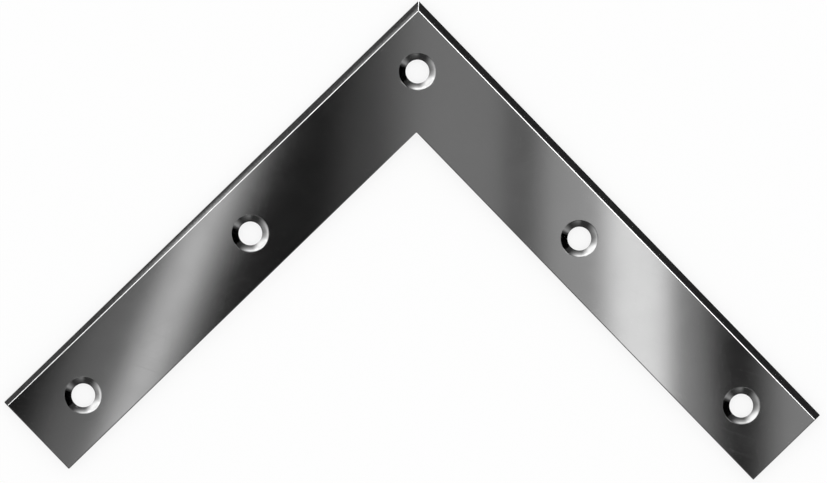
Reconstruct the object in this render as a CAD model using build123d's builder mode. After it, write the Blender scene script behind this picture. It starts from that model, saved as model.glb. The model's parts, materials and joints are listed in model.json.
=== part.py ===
import os

from build123d import *

# Flat corner plate: one L of thick steel strip, with countersunk screw holes and
# bevelled outer edges. Millimetres.
# It lies on its back face, at Z = 0, and its countersunk front face looks up, +Z.
# The origin is where the corner hole's axis meets the back face.
# One arm runs along +X and the other along +Y.

# The L
arm_length = 124.0  # along each outer edge, from the outer corner to the arm's end
arm_width = 20.0
thickness = 2.5

# The bevel that runs along both outer edges and meets in a mitre at the corner
bevel_width = 1.5  # across the front face
bevel_drop = 0.85  # down the edge

# The countersunk screw holes
hole_diameter = 5.1
countersink_diameter = 8.0
countersink_angle = 100.0
end_hole_setback = 13.25  # from the last hole's centre to the arm's end
holes_per_arm = 2  # besides the one in the corner

# Softened edges
ridge_radius = 0.5  # where the bevels meet the front face and each other
edge_radius = 0.2  # all round the L, front and back, and down its corners
rim_radius = 0.15  # round the mouth of each countersink

# Every hole is centred on the flat of the front face, between the ridge and the inner edge
hole_inset = (arm_width + bevel_width) / 2
outer_side = -hole_inset
inner_side = outer_side + arm_width
arm_end = outer_side + arm_length
outer_corner = (outer_side, outer_side, thickness)

# The holes of an arm are evenly spaced from the corner hole to the last one
hole_pitch = (arm_end - end_hole_setback) / holes_per_arm
hole_centres = [(0, 0)]
for number in range(1, holes_per_arm + 1):
    hole_centres.append((number * hole_pitch, 0))
    hole_centres.append((0, number * hole_pitch))

with BuildPart() as corner_plate:
    with BuildSketch():
        with BuildLine():
            Polyline(
                (outer_side, outer_side),
                (arm_end, outer_side),
                (arm_end, inner_side),
                (inner_side, inner_side),
                (inner_side, arm_end),
                (outer_side, arm_end),
                close=True,
            )
        make_face()
    extrude(amount=thickness)

    # The bevels: the two front edges that meet at the outer corner are cut back,
    # and the cuts meet each other in a mitre
    front = corner_plate.faces().sort_by(Axis.Z)[-1]
    outer_edges = front.edges().sort_by_distance(outer_corner)[:2]
    chamfer(outer_edges, length=bevel_width, length2=bevel_drop, reference=front)

    # The ridges that the bevels leave along the front face, and the short mitre ridge
    front = corner_plate.faces().filter_by(Plane.XY).sort_by(Axis.Z)[-1]
    ridges = front.edges().sort_by_distance(outer_corner)[:2]
    slanted_edges = corner_plate.edges().filter_by_position(
        Axis.Z, thickness - bevel_drop, thickness, inclusive=(False, False)
    )
    mitre = slanted_edges.sort_by_distance(outer_corner)[0]
    fillet(ridges + [mitre], radius=ridge_radius)

    # The rest of the front's edges, all the back's edges and the upright corners
    front = corner_plate.faces().filter_by(Plane.XY).sort_by(Axis.Z)[-1]
    back = corner_plate.faces().filter_by(Plane.XY).sort_by(Axis.Z)[0]
    inner_and_end_edges = front.edges().sort_by_distance(outer_corner)[2:]
    upright_corners = corner_plate.edges().filter_by(Axis.Z)
    fillet(inner_and_end_edges + back.edges() + upright_corners, radius=edge_radius)

    # The countersunk holes, sunk from the front face, with softened mouths
    with Locations(*[(x, y, thickness) for x, y in hole_centres]):
        CounterSinkHole(
            radius=hole_diameter / 2,
            counter_sink_radius=countersink_diameter / 2,
            counter_sink_angle=countersink_angle,
        )
    rims = corner_plate.edges().filter_by(GeomType.CIRCLE).group_by(Axis.Z)[-1]
    fillet(rims, radius=rim_radius)

corner_plate.part.label = "corner_plate"
os.makedirs("parts", exist_ok=True)
export_step(corner_plate.part, "parts/corner_plate.step")
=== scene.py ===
import json
import math

import bmesh
import bpy
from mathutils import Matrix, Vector


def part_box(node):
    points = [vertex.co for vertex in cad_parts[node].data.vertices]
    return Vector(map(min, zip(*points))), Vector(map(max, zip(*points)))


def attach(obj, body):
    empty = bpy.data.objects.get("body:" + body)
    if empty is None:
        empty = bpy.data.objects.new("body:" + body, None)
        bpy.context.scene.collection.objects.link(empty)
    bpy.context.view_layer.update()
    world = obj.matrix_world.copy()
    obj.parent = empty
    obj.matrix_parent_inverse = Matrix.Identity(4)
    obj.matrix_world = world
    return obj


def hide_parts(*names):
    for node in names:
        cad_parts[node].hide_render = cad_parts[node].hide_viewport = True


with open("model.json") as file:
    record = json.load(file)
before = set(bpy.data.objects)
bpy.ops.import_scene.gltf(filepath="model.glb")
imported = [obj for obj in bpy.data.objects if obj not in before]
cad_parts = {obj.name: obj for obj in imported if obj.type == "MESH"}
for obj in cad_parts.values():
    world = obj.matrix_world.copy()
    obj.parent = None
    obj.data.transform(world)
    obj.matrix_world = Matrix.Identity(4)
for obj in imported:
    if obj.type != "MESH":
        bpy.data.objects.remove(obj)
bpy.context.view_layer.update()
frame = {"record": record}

MM = 0.001
quarter_turn = math.radians(90)

# The plate's sizes, as in its source
arm_width = 20.0 * MM
bevel_width = 1.5 * MM
bevel_drop = 0.85 * MM
ridge_radius = 0.5 * MM
edge_radius = 0.2 * MM
countersink_half_angle = math.radians(50.0)

# Finer forms, which only this skin has
mitre_round = 0.25 * MM  # radius in plan of the mitre's ridge
mouth_radius = 4.05 * MM  # of each countersink, outside its softened rim
rim_radius = 0.08 * MM
ridge_slope = math.radians(25.0)  # where the ridge's round runs into the bevel's slight crown
cone_crown = math.radians(2.0)  # each cone is this much steeper at its mouth, and less at its foot
bevel_narrowing = 0.45 * MM  # how much narrower the bevel along +X is ground by the arm's end

# Where the plate and its holes lie, from the frame
plate_low, plate_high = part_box("corner_plate")
outer_side = plate_low.x
arm_end = plate_high.x
thickness = plate_high.z
inner_side = outer_side + arm_width
holes = [mount for mount in frame["record"]["mounts"] if mount["kind"] == "bore"]
hole_centres = [Vector(mount["pos_m"]) for mount in holes]
hole_radius = holes[0]["dims"]["r_mm"] * MM

crease_angle = math.radians(30.0)  # sharper than this, and an edge shows as a crease
hole_reach = mouth_radius + 0.15 * MM  # the faces this near a hole's axis are the hole's

# Differences too small to count
height_slack = 1e-9
point_slack = 1e-8
least_height_step = 1e-7

# How finely curves are divided
back_edge_steps = 5
front_edge_steps = 6
ridge_steps = 8
bevel_steps = 6
cone_steps = 6
corner_steps = 6
rim_steps = 5
hole_segments = 128

# The bevel's crown: one shallow arc from the end of the ridge's round to the bevel's foot
bevel_slope = math.atan2(bevel_drop, bevel_width)
bevel_foot = thickness - bevel_drop
ridge_inset = bevel_width + ridge_radius * math.tan(bevel_slope / 2)
crown_width = ridge_inset - ridge_radius * math.sin(ridge_slope)
crown_drop = bevel_drop - ridge_radius * (1 - math.cos(ridge_slope))
foot_slope = 2 * math.atan2(crown_drop, crown_width) - ridge_slope
crown_turn = foot_slope - ridge_slope
crown_radius = math.hypot(crown_width, crown_drop) / (2 * math.sin(crown_turn / 2))
ridge_start = thickness - (bevel_drop - crown_drop)

# Regions of the plate's surface, each with its own finish
FINISHES = ["front_face", "bevel", "ridge", "edge", "countersink", "cut_wall", "back_face"]


def plain_inset(z):
    """How far the inner and end edges stand back at height z."""
    if z < edge_radius:
        return edge_radius - math.sqrt(edge_radius**2 - (edge_radius - z) ** 2)
    over = z - (thickness - edge_radius)
    if over > 0:
        return edge_radius - math.sqrt(max(edge_radius**2 - over**2, 0.0))
    return 0.0


def bevel_point(slope):
    """Inset from the outer edge and height, where the bevelled edge has a given slope."""
    if slope <= ridge_slope:
        inset = ridge_inset - ridge_radius * math.sin(slope)
        return inset, thickness - ridge_radius * (1 - math.cos(slope))
    inset = crown_width - crown_radius * (math.sin(slope) - math.sin(ridge_slope))
    return inset, ridge_start - crown_radius * (math.cos(ridge_slope) - math.cos(slope))


def outer_inset(z):
    """How far the two bevelled edges stand back at height z."""
    if z <= bevel_foot + height_slack:
        return plain_inset(min(z, thickness / 2))
    if z <= ridge_start:
        slope = math.acos(math.cos(ridge_slope) - (ridge_start - z) / crown_radius)
    else:
        slope = math.acos(1 - (thickness - z) / ridge_radius)
    return bevel_point(slope)[0]


def narrowed(z):
    """Inset and height, at the narrow end of the bevel, of what lies at height z elsewhere."""
    if z > ridge_start:
        return outer_inset(z) - bevel_narrowing, z
    if z > bevel_foot - height_slack:
        share = 1 - bevel_narrowing / crown_width
        return outer_inset(z) * share, ridge_start - share * (ridge_start - z)
    return outer_inset(z), z


def apex_round(z):
    """Radius in plan of the outer corner, which is the mitre's ridge above the bevel's foot."""
    if z <= bevel_foot:
        return edge_radius - plain_inset(min(z, thickness / 2))
    if z <= ridge_start:
        return mitre_round
    return mitre_round * (ridge_inset - outer_inset(z)) / (ridge_inset - crown_width)


def section_heights():
    """Heights of the sections that the plate's sides are drawn through."""
    heights = {bevel_foot, ridge_start, thickness - edge_radius}
    for step in range(back_edge_steps + 1):
        turn = quarter_turn * step / back_edge_steps
        heights.add(edge_radius * (1 - math.cos(turn)))
    for step in range(front_edge_steps + 1):
        turn = quarter_turn * step / front_edge_steps
        heights.add(thickness - edge_radius * (1 - math.sin(turn)))
    for step in range(ridge_steps):
        heights.add(bevel_point(ridge_slope * step / ridge_steps)[1])
    for step in range(bevel_steps):
        heights.add(bevel_point(ridge_slope + crown_turn * step / bevel_steps)[1])
    kept = []
    for z in sorted(heights):
        if not kept or z - kept[-1] > least_height_step:
            kept.append(z)
    kept[-1] = thickness
    return kept


def section(z):
    """The outline at height z, as points in order. Towards the end of the arm along +X the
    bevel is narrower and shallower, so there its points lie higher."""
    outer = outer_side + outer_inset(z)
    end = arm_end - plain_inset(z)
    inner = inner_side - plain_inset(z)
    convex = max(edge_radius - plain_inset(z), 0.0)
    concave = edge_radius + plain_inset(z)
    narrow_inset, narrow_z = narrowed(z)
    corners = [
        (Vector((outer, outer, z)), apex_round(z)),
        (Vector((end, outer_side + narrow_inset, narrow_z)), convex),
        (Vector((end, inner, z)), convex),
        (Vector((inner, inner, z)), concave),
        (Vector((inner, end, z)), convex),
        (Vector((outer, end, z)), convex),
    ]
    points = []
    for number, (corner, radius) in enumerate(corners):
        before = corners[number - 1][0]
        after = corners[(number + 1) % len(corners)][0]
        way_in = (corner - before).to_2d().normalized().to_3d()
        way_out = (after - corner).to_2d().normalized().to_3d()
        middle = corner - way_in * radius + way_out * radius
        for step in range(corner_steps + 1):
            turn = quarter_turn * step / corner_steps
            offset = way_in * math.sin(turn) - way_out * math.cos(turn)
            points.append(middle + offset * radius)
    return points


def side_finish(number, low, high):
    """Finish of the stretch that starts at outline point number, between two heights."""
    corner, step = divmod(number, corner_steps + 1)
    rounded = step < corner_steps
    bevelled = corner in (0, 5)
    if high <= bevel_foot + height_slack:
        return "cut_wall" if not rounded and low > edge_radius - height_slack else "edge"
    if bevelled and not rounded:
        return "bevel" if high <= ridge_start + height_slack else "ridge"
    if rounded:
        return "ridge" if corner == 0 else "edge"
    return "cut_wall" if high <= thickness - edge_radius + height_slack else "edge"


def hole_profile():
    """Radius, height and finish below it, from a countersink's mouth down to the back face."""
    cone_slope = quarter_turn - countersink_half_angle
    rim_slope = cone_slope + cone_crown
    profile = []
    for step in range(rim_steps):
        turn = rim_slope * step / rim_steps
        height = thickness - rim_radius * (1 - math.cos(turn))
        profile.append((mouth_radius - rim_radius * math.sin(turn), height, "ridge"))
    cone_top = mouth_radius - rim_radius * math.sin(rim_slope)
    cone_top_height = thickness - rim_radius * (1 - math.cos(rim_slope))
    cone_depth = (cone_top - hole_radius) / math.tan(countersink_half_angle)
    cone_end_height = cone_top_height - cone_depth
    chord = math.hypot(cone_top - hole_radius, cone_top_height - cone_end_height)
    first_slope = math.atan2(cone_top_height - cone_end_height, cone_top - hole_radius) + cone_crown
    crown = chord / (2 * math.sin(cone_crown))
    for step in range(cone_steps):
        slope = first_slope - 2 * cone_crown * step / cone_steps
        radius = cone_top - crown * (math.sin(first_slope) - math.sin(slope))
        height = cone_top_height - crown * (math.cos(slope) - math.cos(first_slope))
        profile.append((radius, height, "countersink"))
    profile.append((hole_radius, cone_end_height, "cut_wall"))
    profile.append((hole_radius, 0.0, "cut_wall"))
    return profile


def join_rings(mesh, lower, upper, finish_of, turned=None):
    """Quads between two closed rings of vertices. Round a hole, turned gives its rings' radii,
    and the grain runs round it."""
    grain = mesh.loops.layers.float_vector["grain"]
    count = len(lower)
    for number in range(count):
        after = (number + 1) % count
        face = mesh.faces.new([lower[number], lower[after], upper[after], upper[number]])
        finish = finish_of(number)
        face.material_index = FINISHES.index(finish)
        if turned is None:
            continue
        turns = (number, number + 1, number + 1, number)
        radii = (turned[0], turned[0], turned[1], turned[1])
        for loop, turn, radius in zip(face.loops, turns, radii):
            round_hole = math.tau * turn / count * hole_radius
            across = radius + thickness - loop.vert.co.z
            if finish == "cut_wall":
                loop[grain] = (loop.vert.co.z, round_hole, 0)
            else:
                loop[grain] = (round_hole, across, 0)


def lay_grain(mesh):
    """Gives every other face its grain: along the bevels, down the cut walls, and along +X on
    the two flat faces."""
    grain = mesh.loops.layers.float_vector["grain"]
    for face in mesh.faces:
        finish = FINISHES[face.material_index]
        middle = face.calc_center_median()
        in_hole = any((middle - centre).to_2d().length < hole_reach for centre in hole_centres)
        if in_hole and finish not in ("front_face", "back_face"):
            continue
        face.normal_update()
        along_y = abs(face.normal.x) > abs(face.normal.y)
        for loop in face.loops:
            x, y, z = loop.vert.co
            if finish == "cut_wall":
                loop[grain] = (z, y if along_y else x, 0)
            elif finish in ("bevel", "ridge", "edge"):
                loop[grain] = (y, x + z, 0) if along_y else (x, y + z, 0)
            else:
                loop[grain] = (x, y, 0)


def fill_flat(mesh, height, finish):
    """Fills the flat face at a height, round the holes' mouths."""
    rim = []
    for edge in mesh.edges:
        level = all(abs(vertex.co.z - height) < point_slack for vertex in edge.verts)
        if edge.is_boundary and level:
            rim.append(edge)
    up = 1 if height > 0 else -1
    made = bmesh.ops.triangle_fill(mesh, edges=rim, use_beauty=True, normal=(0, 0, up))
    for item in made["geom"]:
        if isinstance(item, bmesh.types.BMFace):
            item.material_index = FINISHES.index(finish)


def plate_mesh():
    """The plate's whole skin: sides through their sections, holes, and the two flat faces."""
    mesh = bmesh.new()
    mesh.loops.layers.float_vector.new("grain")
    heights = section_heights()
    rings = []
    for z in heights:
        rings.append([mesh.verts.new(point) for point in section(z)])
    for low, high, lower, upper in zip(heights, heights[1:], rings, rings[1:]):
        join_rings(mesh, lower, upper, lambda number: side_finish(number, low, high))
    profile = hole_profile()
    for centre in hole_centres:
        rings = []
        for radius, height, _ in profile:
            ring = []
            for segment in range(hole_segments):
                turn = math.tau * segment / hole_segments
                x = centre.x + radius * math.cos(turn)
                y = centre.y + radius * math.sin(turn)
                ring.append(mesh.verts.new((x, y, height)))
            rings.append(ring)
        for first, second, upper, lower in zip(profile, profile[1:], rings, rings[1:]):
            radii = (second[0], first[0])
            join_rings(mesh, lower, upper, lambda number: first[2], turned=radii)
    bmesh.ops.remove_doubles(mesh, verts=mesh.verts, dist=point_slack)
    fill_flat(mesh, thickness, "front_face")
    fill_flat(mesh, 0.0, "back_face")
    bmesh.ops.recalc_face_normals(mesh, faces=mesh.faces)
    lay_grain(mesh)
    for face in mesh.faces:
        face.smooth = True
    flats = {FINISHES.index("front_face"), FINISHES.index("back_face")}
    for edge in mesh.edges:
        finishes = {face.material_index for face in edge.link_faces}
        at_flat = len(finishes) == 2 and bool(finishes & flats)
        edge.smooth = not at_flat and edge.calc_face_angle() < crease_angle
    return mesh


def new_material(name):
    """A material with an empty node tree, and its output node."""
    material = bpy.data.materials.new(name)
    material.use_nodes = True
    material.node_tree.nodes.clear()
    output = material.node_tree.nodes.new("ShaderNodeOutputMaterial")
    return material, material.node_tree, output


def new_effect(name, inputs, outputs):
    """An effect that several finishes share: its inputs and outputs by name, with defaults."""
    effect = bpy.data.node_groups.new(name, "ShaderNodeTree")
    for label, value in inputs.items():
        kind = "NodeSocketVector" if value is None else "NodeSocketFloat"
        socket = effect.interface.new_socket(label, in_out="INPUT", socket_type=kind)
        if value is not None:
            socket.default_value = value
    for label in outputs:
        effect.interface.new_socket(label, in_out="OUTPUT", socket_type="NodeSocketFloat")
    return effect, effect.nodes.new("NodeGroupInput"), effect.nodes.new("NodeGroupOutput")


def feed(tree, socket, term):
    """Gives a socket its term, which is another socket or a number."""
    if isinstance(term, bpy.types.NodeSocket):
        tree.links.new(term, socket)
    else:
        socket.default_value = term


def math_node(tree, operation, first, second):
    """One step of arithmetic."""
    node = tree.nodes.new("ShaderNodeMath")
    node.operation = operation
    feed(tree, node.inputs[0], first)
    feed(tree, node.inputs[1], second)
    return node.outputs["Value"]


def between(tree, value, low, high, new_low, new_high):
    """Takes a value from one range to another, held at its ends."""
    node = tree.nodes.new("ShaderNodeMapRange")
    feed(tree, node.inputs["Value"], value)
    feed(tree, node.inputs["From Min"], low)
    feed(tree, node.inputs["From Max"], high)
    feed(tree, node.inputs["To Min"], new_low)
    feed(tree, node.inputs["To Max"], new_high)
    return node.outputs["Result"]


def noise(tree, place, scale, detail):
    """Noise over a place; scale is how many of its coarsest lumps go to a metre."""
    node = tree.nodes.new("ShaderNodeTexNoise")
    node.inputs["Detail"].default_value = detail
    feed(tree, node.inputs["Vector"], place)
    feed(tree, node.inputs["Scale"], scale)
    return node.outputs["Fac"]


def stretched(tree, place, along, across):
    """A place measured more finely across the grain than along it."""
    scale = tree.nodes.new("ShaderNodeCombineXYZ")
    feed(tree, scale.inputs["X"], along)
    feed(tree, scale.inputs["Y"], across)
    feed(tree, scale.inputs["Z"], across)
    node = tree.nodes.new("ShaderNodeVectorMath")
    node.operation = "MULTIPLY"
    tree.links.new(place, node.inputs[0])
    tree.links.new(scale.outputs["Vector"], node.inputs[1])
    return node.outputs["Vector"]


def cloud_effect():
    """Faint clouds that a polish leaves: a factor round 1, to multiply a value with."""
    inputs = {"Place": None, "Scale": 60.0, "Amount": 0.05}
    effect, given, result = new_effect("polish_clouds", inputs, ["Factor"])
    cloud = noise(effect, given.outputs["Place"], given.outputs["Scale"], 4.0)
    low = math_node(effect, "SUBTRACT", 1.0, given.outputs["Amount"])
    high = math_node(effect, "ADD", 1.0, given.outputs["Amount"])
    factor = between(effect, cloud, 0.3, 0.7, low, high)
    effect.links.new(factor, result.inputs["Factor"])
    return effect


def line_effect():
    """Fine lines along the grain, as grinding, turning, rolling or shearing leaves them."""
    inputs = {"Grain": None, "Along": 100.0, "Across": 6000.0}
    effect, given, result = new_effect("tool_lines", inputs, ["Height"])
    place = stretched(effect, given.outputs["Grain"], given.outputs["Along"], given.outputs["Across"])
    lines = noise(effect, place, 1.0, 3.0)
    effect.links.new(between(effect, lines, 0.25, 0.75, 0.0, 1.0), result.inputs["Height"])
    return effect


def scratch_effect():
    """Sparse hairline scratches in several directions: 1 in a scratch and 0 elsewhere."""
    inputs = {"Place": None, "Amount": 0.5}
    effect, given, result = new_effect("hairline_scratches", inputs, ["Mask"])
    mask = None
    for angle, along, across in ((17, 45, 5200), (64, 60, 4300), (-38, 38, 6100)):
        turned = effect.nodes.new("ShaderNodeVectorRotate")
        turned.rotation_type = "Z_AXIS"
        turned.inputs["Angle"].default_value = math.radians(angle)
        effect.links.new(given.outputs["Place"], turned.inputs["Vector"])
        place = stretched(effect, turned.outputs["Vector"], along, across)
        streak = between(effect, noise(effect, place, 1.0, 0.0), 0.74, 0.8, 0.0, 1.0)
        mask = streak if mask is None else math_node(effect, "MAXIMUM", mask, streak)
    mask = math_node(effect, "MULTIPLY", mask, given.outputs["Amount"])
    effect.links.new(mask, result.inputs["Mask"])
    return effect


polish_clouds = cloud_effect()
tool_lines = line_effect()
hairline_scratches = scratch_effect()


def place_effect(tree, effect, place, **values):
    """Places a shared effect in a material, and gives its first output."""
    node = tree.nodes.new("ShaderNodeGroup")
    node.node_tree = effect
    tree.links.new(place, node.inputs[0])
    for label, value in values.items():
        node.inputs[label.capitalize()].default_value = value
    return node.outputs[0]


def new_steel(name):
    """A bare steel finish: its shader, its place on the plate and its grain."""
    material, tree, output = new_material(name)
    shader = tree.nodes.new("ShaderNodeBsdfPrincipled")
    shader.inputs["Metallic"].default_value = 1.0
    tree.links.new(shader.outputs["BSDF"], output.inputs["Surface"])
    place = tree.nodes.new("ShaderNodeTexCoord").outputs["Object"]
    grain = tree.nodes.new("ShaderNodeAttribute")
    grain.attribute_name = "grain"
    return material, tree, shader, place, grain.outputs["Vector"]


def tint(tree, shader, value, base):
    """Sets a grey base colour, varied by a factor."""
    grey = math_node(tree, "MULTIPLY", value, base)
    tree.links.new(grey, shader.inputs["Base Color"])


def raise_surface(tree, shader, height, depth):
    """Bumps the surface by a height from 0 to 1, over a depth in metres."""
    bump = tree.nodes.new("ShaderNodeBump")
    bump.inputs["Distance"].default_value = depth
    bump.inputs["Strength"].default_value = 1.0
    tree.links.new(height, bump.inputs["Height"])
    tree.links.new(bump.outputs["Normal"], shader.inputs["Normal"])


def polished_steel(name, roughness, base=0.56):
    """Polished bright, with faint clouds and hairlines, and not quite flat."""
    material, tree, shader, place, _ = new_steel(name)
    clouds = place_effect(tree, polish_clouds, place, scale=70.0, amount=0.02)
    tint(tree, shader, clouds, base)
    scratches = place_effect(tree, hairline_scratches, place, amount=0.025)
    haze = place_effect(tree, polish_clouds, place, scale=160.0, amount=0.1)
    rough = math_node(tree, "MULTIPLY", haze, roughness)
    rough = math_node(tree, "ADD", rough, scratches)
    tree.links.new(rough, shader.inputs["Roughness"])
    raise_surface(tree, shader, noise(tree, place, 45.0, 1.0), 6e-6)
    return material


def ground_bevel():
    """Ground along the edge, finer than the eye can part the lines."""
    material, tree, shader, place, grain = new_steel("ground_bevel")
    lines = place_effect(tree, tool_lines, grain, along=500.0, across=7000.0)
    mottle = place_effect(tree, polish_clouds, place, scale=2200.0, amount=0.3)
    shade = math_node(tree, "MULTIPLY", between(tree, lines, 0.0, 1.0, 0.86, 1.14), mottle)
    tint(tree, shader, shade, 0.56)
    tree.links.new(between(tree, lines, 0.0, 1.0, 0.08, 0.12), shader.inputs["Roughness"])
    raise_surface(tree, shader, lines, 5e-7)
    return material


def turned_countersink():
    """Turned by the countersink's cutter, with fine rings."""
    material, tree, shader, _, grain = new_steel("turned_countersink")
    rings = place_effect(tree, tool_lines, grain, along=160.0, across=9000.0)
    tint(tree, shader, between(tree, rings, 0.0, 1.0, 0.95, 1.05), 0.56)
    tree.links.new(between(tree, rings, 0.0, 1.0, 0.07, 0.1), shader.inputs["Roughness"])
    raise_surface(tree, shader, rings, 4e-7)
    return material


def cut_wall():
    """The press's cut: burnished near the front, and torn and duller below a ragged line."""
    torn_below = 0.85 * MM
    burnished_above = 1.25 * MM
    material, tree, shader, place, grain = new_steel("cut_wall")
    lines = place_effect(tree, tool_lines, grain, along=120.0, across=5200.0)
    height = tree.nodes.new("ShaderNodeSeparateXYZ")
    tree.links.new(place, height.inputs["Vector"])
    ragged = math_node(tree, "MULTIPLY", lines, 0.15 * MM)
    level = math_node(tree, "ADD", height.outputs["Z"], ragged)
    wander = math_node(tree, "MULTIPLY", noise(tree, place, 260.0, 2.0), 0.7 * MM)
    level = math_node(tree, "ADD", level, wander)
    torn = between(tree, level, torn_below, burnished_above, 1.0, 0.0)
    pits = between(tree, noise(tree, place, 3500.0, 3.0), 0.3, 0.7, 0.0, 1.0)
    rough_height = math_node(tree, "MULTIPLY", torn, pits)
    drawn = between(tree, lines, 0.0, 1.0, 0.84, 1.08)
    dulled = between(tree, rough_height, 0.0, 1.0, 1.0, 0.76)
    tint(tree, shader, math_node(tree, "MULTIPLY", drawn, dulled), 0.54)
    rough = between(tree, torn, 0.0, 1.0, 0.24, 0.45)
    tree.links.new(rough, shader.inputs["Roughness"])
    both = math_node(tree, "ADD", math_node(tree, "MULTIPLY", lines, 0.25), rough_height)
    raise_surface(tree, shader, both, 3.5e-6)
    return material


def rolled_back():
    """The strip's own rolled surface, never polished, with handling scratches."""
    material, tree, shader, place, grain = new_steel("rolled_back")
    lines = place_effect(tree, tool_lines, grain, along=18.0, across=3200.0)
    clouds = place_effect(tree, polish_clouds, place, scale=40.0, amount=0.07)
    tint(tree, shader, clouds, 0.5)
    scratches = place_effect(tree, hairline_scratches, place, amount=0.12)
    rough = between(tree, lines, 0.0, 1.0, 0.27, 0.36)
    tree.links.new(math_node(tree, "ADD", rough, scratches), shader.inputs["Roughness"])
    raise_surface(tree, shader, lines, 3e-6)
    return material


def finished_plate():
    """The plate's skin in its finishes, over the source's solid."""
    data = bpy.data.meshes.new("corner_plate_skin")
    skin = plate_mesh()
    skin.to_mesh(data)
    skin.free()
    finishes = {
        "front_face": polished_steel("polished_front", 0.10),
        "bevel": ground_bevel(),
        "ridge": polished_steel("softened_ridge", 0.11),
        # The rounded edges take a darker base colour than the rest of the steel, 0.3 against 0.56: painted
        # shade along them. Their higher roughness is the tumbled finish.
        "edge": polished_steel("tumbled_edge_painted_shade", 0.2, base=0.3),
        "countersink": turned_countersink(),
        "cut_wall": cut_wall(),
        "back_face": rolled_back(),
    }
    for finish in FINISHES:
        data.materials.append(finishes[finish])
    plate = bpy.data.objects.new("corner_plate_finished", data)
    bpy.context.scene.collection.objects.link(plate)
    return plate


plate = finished_plate()
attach(plate, "root")
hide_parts("corner_plate")

# The photograph's framing: a long lens straight above, the outer corner at the top. Scale,
# centre and turn come from a fit of the plate to the corners and holes measured in it
photo_width = 827
pixels_per_mm = 4.6546
view_centre = Vector((26.03, 25.65, 2.5)) * MM
picture_turn = math.radians(135.905)
lens_mm = 800.0
sensor_mm = 36.0
view_width = photo_width / pixels_per_mm * MM
camera_distance = view_width * lens_mm / sensor_mm

camera_data = bpy.data.cameras.new("camera")
camera_data.lens = lens_mm
camera_data.sensor_width = sensor_mm
camera = bpy.data.objects.new("camera", camera_data)
camera.location = view_centre + Vector((0, 0, camera_distance))
camera.rotation_euler = (0, 0, picture_turn)
bpy.context.scene.collection.objects.link(camera)
bpy.context.scene.camera = camera


def picture_direction(azimuth, elevation):
    """Unit vector towards a direction: azimuth from the picture's right, anticlockwise."""
    turn = picture_turn + math.radians(azimuth)
    rise = math.radians(elevation)
    return Vector((math.cos(rise) * math.cos(turn), math.cos(rise) * math.sin(turn), math.sin(rise)))


def fade(tree, value, start, end):
    """A smooth ramp from 0 at start to 1 at end."""
    ramp = tree.nodes.new("ShaderNodeMapRange")
    ramp.interpolation_type = "SMOOTHSTEP"
    ramp.inputs["From Min"].default_value = start
    ramp.inputs["From Max"].default_value = end
    tree.links.new(value, ramp.inputs["Value"])
    return ramp.outputs["Result"]


def show_in_metal_only(panel, material):
    """Makes a panel visible only as a reflection, so it neither lights nor shades the floor."""
    panel.visible_camera = False
    panel.visible_diffuse = False
    panel.visible_transmission = False
    panel.visible_shadow = False
    material.cycles.emission_sampling = "NONE"


def panel_material(name, brightness, feather):
    """A glowing panel whose edges fade out: feather is the share of its sides that fades, as
    (left, right, bottom, top)."""
    material, tree, output = new_material(name)
    place = tree.nodes.new("ShaderNodeUVMap")
    parts = tree.nodes.new("ShaderNodeSeparateXYZ")
    tree.links.new(place.outputs["UV"], parts.inputs["Vector"])
    mask = None
    for axis, (near, far) in {"X": feather[:2], "Y": feather[2:]}.items():
        for start, end in ((0.0, near), (1.0, 1.0 - far)):
            if start != end:
                side = fade(tree, parts.outputs[axis], start, end)
                mask = side if mask is None else math_node(tree, "MULTIPLY", mask, side)
    glow = tree.nodes.new("ShaderNodeEmission")
    glow.inputs["Strength"].default_value = brightness
    if mask is None:
        tree.links.new(glow.outputs["Emission"], output.inputs["Surface"])
        return material
    clear = tree.nodes.new("ShaderNodeBsdfTransparent")
    blend = tree.nodes.new("ShaderNodeMixShader")
    tree.links.new(mask, blend.inputs["Fac"])
    tree.links.new(clear.outputs["BSDF"], blend.inputs[1])
    tree.links.new(glow.outputs["Emission"], blend.inputs[2])
    tree.links.new(blend.outputs["Shader"], output.inputs["Surface"])
    return material


def add_panel(name, grid, brightness, feather):
    """A glowing panel through a grid of points, given row by row from its bottom."""
    rows = len(grid) - 1
    columns = len(grid[0]) - 1
    mesh = bmesh.new()
    uv = mesh.loops.layers.uv.new("UVMap")
    vertices = [[mesh.verts.new(point) for point in line] for line in grid]
    for row in range(rows):
        for column in range(columns):
            spots = [(column, row), (column + 1, row), (column + 1, row + 1), (column, row + 1)]
            face = mesh.faces.new([vertices[r][c] for c, r in spots])
            for loop, (c, r) in zip(face.loops, spots):
                loop[uv].uv = (c / columns, r / rows)
    data = bpy.data.meshes.new(name)
    mesh.to_mesh(data)
    mesh.free()
    material = panel_material(name, brightness, feather)
    data.materials.append(material)
    panel = bpy.data.objects.new(name, data)
    bpy.context.scene.collection.objects.link(panel)
    show_in_metal_only(panel, material)


def sky_panel(name, azimuths, elevations, brightness, feather, distance, centre=view_centre):
    """A panel at a distance, over a range of azimuth and elevation as seen from the plate. It
    bends round the plate, with a facet about every four degrees."""
    facet = 4
    columns = max(2, int(abs(azimuths[1] - azimuths[0]) / facet))
    rows = max(2, int(abs(elevations[1] - elevations[0]) / facet))
    grid = []
    for row in range(rows + 1):
        elevation = elevations[0] + (elevations[1] - elevations[0]) * row / rows
        line = []
        for column in range(columns + 1):
            azimuth = azimuths[0] + (azimuths[1] - azimuths[0]) * column / columns
            line.append(centre + picture_direction(azimuth, elevation) * distance)
        grid.append(line)
    add_panel(name, grid, brightness, feather)


# The canopy over the plate, painted with the soft strips of light that the flat face mirrors
canopy_height = 0.12
canopy_margin = 0.015
canopy_spread = 1 + canopy_height / camera_distance  # its size over that of its reflection

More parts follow.
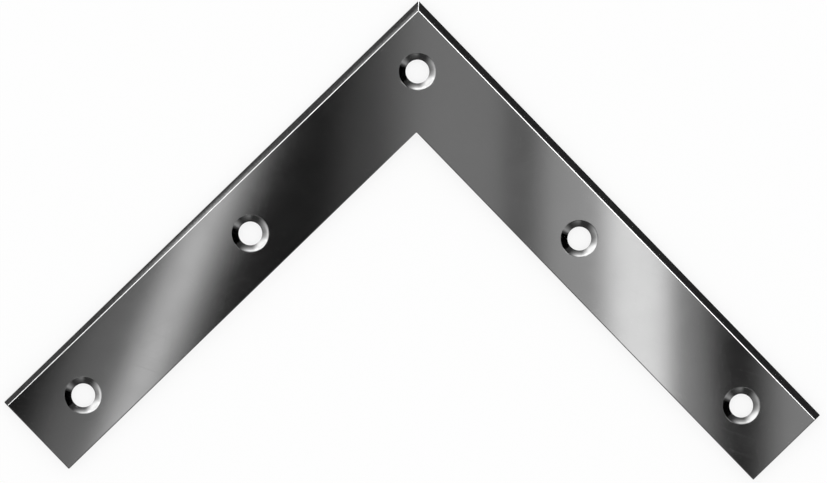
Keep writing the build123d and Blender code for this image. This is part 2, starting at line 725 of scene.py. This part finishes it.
# Each strip's lean in degrees, its left border and how wide it fades, the same for its right
# one, in mm from the picture's middle, and its brightness. The later ones lie over the earlier.
# This table and canopy_dark were made by another program, a least-squares fit to the greys of
# the photograph's face, and weren't worked out here
canopy_dark = 0.016
canopy_strips = {
    "left_shelf": (21.7, -60.2, 11.4, -40.2, 4.5, 0.182),
    "left_strip": (21.3, -45.8, 9.7, -42.4, 20.3, 1.539),
    "valley_glow": (6.2, -17.1, 9.7, 9.0, 6.0, 0.081),
    "between": (0.0, 2.2, 6.0, 45.0, 6.0, 0.149),
    "corner_plateau": (0.5, -3.1, 14.9, 19.2, 4.0, 0.269),
    "right_after": (-2.6, 45.0, 6.0, 62.5, 8.8, 0.304),
    "right_step": (0.1, 27.7, 7.3, 48.0, 6.0, 0.436),
    "right_strip": (-0.2, 41.7, 6.6, 54.9, 5.5, 1.233),
    "right_end": (0.8, 77.1, 10.8, 103.3, 3.0, 0.346),
}


def paint_strip(tree, place, under, strip):
    """Lays one of the canopy's strips of light over what is under it."""
    lean, left_middle, left_width, right_middle, right_width, brightness = strip
    across = tree.nodes.new("ShaderNodeVectorMath")
    across.operation = "DOT_PRODUCT"
    across.inputs[1].default_value = picture_direction(-lean, 0) / MM / canopy_spread
    tree.links.new(place, across.inputs[0])
    from_left = across.outputs["Value"]
    rise = fade(tree, from_left, left_middle - left_width / 2, left_middle + left_width / 2)
    fall = fade(tree, from_left, right_middle + right_width / 2, right_middle - right_width / 2)
    blend = tree.nodes.new("ShaderNodeMix")
    feed(tree, blend.inputs["Factor"], math_node(tree, "MULTIPLY", rise, fall))
    feed(tree, blend.inputs["A"], under)
    feed(tree, blend.inputs["B"], brightness)
    return blend.outputs["Result"]


def canopy_light(tree, place):
    """The canopy's brightness: dark, with one strip after another laid over it."""
    light = canopy_dark
    for strip in canopy_strips.values():
        light = paint_strip(tree, place, light, strip)
    return light


def canopy():
    """A flat canopy of the plate's own outline and a margin."""
    low = outer_side - canopy_margin
    high = arm_end + canopy_margin
    inner = inner_side + canopy_margin
    corners = [(low, low), (high, low), (high, inner), (inner, inner), (inner, high), (low, high)]
    mesh = bmesh.new()
    vertices = []
    for x, y in corners:
        flat = Vector((x, y, view_centre.z)) - view_centre
        vertices.append(mesh.verts.new(flat * canopy_spread + Vector((0, 0, canopy_height))))
    mesh.faces.new(vertices)
    data = bpy.data.meshes.new("canopy")
    mesh.to_mesh(data)
    mesh.free()
    material, tree, output = new_material("canopy")
    place = tree.nodes.new("ShaderNodeTexCoord").outputs["Object"]
    glow = tree.nodes.new("ShaderNodeEmission")
    tree.links.new(canopy_light(tree, place), glow.inputs["Strength"])
    tree.links.new(glow.outputs["Emission"], output.inputs["Surface"])
    data.materials.append(material)
    sheet = bpy.data.objects.new("canopy", data)
    sheet.location = view_centre
    bpy.context.scene.collection.objects.link(sheet)
    show_in_metal_only(sheet, material)


canopy()

# The room round the plate, which shows in its side views
sky_panel("walls", (0, 360), (-3, 89.5), 0.07, (0, 0, 0, 0), distance=9.0)
sky_panel("horizon_glow", (0, 360), (14, 52), 0.22, (0, 0, 0.2, 0.5), distance=8.7)
sky_panel("left_softbox", (166, 226), (17, 62), 0.75, (0.35, 0.35, 0.3, 0.5), distance=0.5)
sky_panel("front_left_softbox", (234, 298), (17, 64), 0.9, (0.35, 0.35, 0.3, 0.5), distance=0.5)
sky_panel("front_right_softbox", (298, 346), (17, 60), 0.6, (0.35, 0.35, 0.3, 0.5), distance=0.5)
sky_panel("right_softbox", (348, 418), (23, 55), 0.5, (0.2, 0.2, 0.35, 0.5), distance=0.5)
sky_panel("back_softbox", (108, 160), (23, 55), 0.4, (0.3, 0.3, 0.35, 0.5), distance=0.6)

# Over the picture's upper edges: the lights that the rounded ridges and the mitre mirror
sky_panel("left_ridge_light", (122, 146), (50, 75), 4.0, (0.15, 0.15, 0.1, 0.1), distance=7.2)
sky_panel("right_ridge_light", (32, 56), (50, 75), 5.0, (0.15, 0.15, 0.1, 0.1), distance=7.2)
outer_corner = Vector((outer_side, outer_side, thickness))
all_round = (0.2, 0.2, 0.2, 0.2)
sky_panel("mitre_light", (75, 105), (38, 56), 4.4, all_round, distance=0.07, centre=outer_corner)

# Small cards that stand close beside the two outer edges, for the bevels to mirror: a dark
# one along each, and two brighter ones on the left for the middle of its arm and its corner
card_top = 3.95 * MM
dark_card_foot = 1.6 * MM
arm_glow_foot = 2.1 * MM
corner_glow_foot = 2.6 * MM
dark_card_gap = 0.3 * MM
arm_glow_gap = 0.27 * MM
corner_glow_gap = 0.24 * MM
whole_edge = (outer_side, arm_end + 2.0 * MM)
arm_middle = (0.22 * arm_end, 0.78 * arm_end)
corner_stretch = (outer_side, 0.2 * arm_end)


def edge_card(name, beside, gap, ends, foot, brightness, feather):
    """A card that stands beside the outer edge along +X or +Y, at a gap from it."""
    reach = outer_side - gap
    grid = []
    for height in (foot, card_top):
        places = [(spot, reach) if beside == "+X" else (reach, spot) for spot in ends]
        grid.append([Vector((x, y, height)) for x, y in places])
    add_panel(name, grid, brightness, feather)


edge_card("left_bevel_card", "+X", dark_card_gap, whole_edge, dark_card_foot, 0.085, (0, 0, 0, 0.1))
edge_card("left_bevel_glow", "+X", arm_glow_gap, arm_middle, arm_glow_foot, 0.7, (0.5, 0.5, 1, 0))
edge_card("left_corner_glow", "+X", corner_glow_gap, corner_stretch, corner_glow_foot, 0.4, (0, 0.6, 1, 0))
edge_card("right_bevel_card", "+Y", dark_card_gap, whole_edge, dark_card_foot, 0.03, (0, 0, 0, 0.1))

# Low round the plate: what the countersinks' cones mirror. The two rims and the window's middle
# were set one by one. The others' numbers come from another program too, a least-squares fit to
# the greys of the photograph's countersinks, and some of them were changed by hand after it
sky_panel("low_wall", (0, 360), (-3, 19), 0.048, (0, 0, 0, 0.2), distance=6.3)
sky_panel("low_top_glow", (50, 121), (-3, 15), 3.1, (0.57, 0.15, 0, 1), distance=6.0)
sky_panel("low_left_glow", (162, 242), (-3, 19), 1.06, (0.22, 0.48, 0, 1), distance=6.0)
sky_panel("low_left_rim", (154, 222), (-3, 8.8), 2.2, (0.4, 0.6, 0, 0.4), distance=5.8)
sky_panel("low_top_rim", (68, 122), (-3, 9.2), 3.6, (0.4, 0.2, 0, 0.4), distance=5.8)
sky_panel("low_window", (97, 187), (-3, 18), 4.5, (0.48, 0.68, 0, 0.68), distance=5.7)
sky_panel("low_window_middle", (115, 157), (-3, 13.5), 1.72, (0.3, 0.3, 0, 0.3), distance=5.6)
sky_panel("low_grey_slit", (260, 304), (-3, 14), 0.51, (0.36, 0.93, 0, 0.68), distance=5.7)
sky_panel("low_grey_patch", (303, 339), (-3, 14.4), 0.52, (0.95, 0.37, 0, 0.1), distance=5.7)
sky_panel("low_black", (342, 399), (-3, 16), 0.0, (0.02, 0.04, 0, 0.1), distance=5.4)

# The floor's own light, as a share of what the eye and the mirrors see of it; the rest is lit
# and so keeps the plate's shadow
floor_share = 0.8
floor_gap = 0.05 * MM
floor_half_width = 6.0


def pale_floor():
    """Pale, with a light of its own, and clear from below, so that the back can be seen."""
    material, tree, output = new_material("pale_floor")
    shader = tree.nodes.new("ShaderNodeBsdfPrincipled")
    shader.inputs["Base Color"].default_value = (0.95, 0.95, 0.95, 1)
    shader.inputs["Roughness"].default_value = 0.9
    shader.inputs["Specular IOR Level"].default_value = 0.0
    white = tree.nodes.new("ShaderNodeEmission")
    rays = tree.nodes.new("ShaderNodeLightPath").outputs
    seen = math_node(tree, "MAXIMUM", rays["Is Camera Ray"], rays["Is Glossy Ray"])
    seen = math_node(tree, "MAXIMUM", seen, rays["Is Transmission Ray"])
    blend = tree.nodes.new("ShaderNodeMixShader")
    tree.links.new(math_node(tree, "MULTIPLY", seen, floor_share), blend.inputs["Fac"])
    tree.links.new(shader.outputs["BSDF"], blend.inputs[1])
    tree.links.new(white.outputs["Emission"], blend.inputs[2])
    clear = tree.nodes.new("ShaderNodeBsdfTransparent")
    below = tree.nodes.new("ShaderNodeNewGeometry").outputs["Backfacing"]
    one_sided = tree.nodes.new("ShaderNodeMixShader")
    tree.links.new(below, one_sided.inputs["Fac"])
    tree.links.new(blend.outputs["Shader"], one_sided.inputs[1])
    tree.links.new(clear.outputs["BSDF"], one_sided.inputs[2])
    tree.links.new(one_sided.outputs["Shader"], output.inputs["Surface"])
    return material


def lay_floor():
    """A wide flat floor just under the plate's back."""
    mesh = bmesh.new()
    bmesh.ops.create_grid(mesh, x_segments=1, y_segments=1, size=floor_half_width)
    data = bpy.data.meshes.new("floor")
    mesh.to_mesh(data)
    mesh.free()
    data.materials.append(pale_floor())
    floor = bpy.data.objects.new("floor", data)
    floor.location.z = -floor_gap
    bpy.context.scene.collection.objects.link(floor)


def white_studio():
    """Soft white light from all round."""
    world = bpy.data.worlds.new("studio")
    world.use_nodes = True
    background = world.node_tree.nodes["Background"]
    background.inputs["Color"].default_value = (1, 1, 1, 1)
    background.inputs["Strength"].default_value = 1.0
    bpy.context.scene.world = world


lay_floor()
white_studio()
bpy.context.scene.view_settings.view_transform = "Standard"
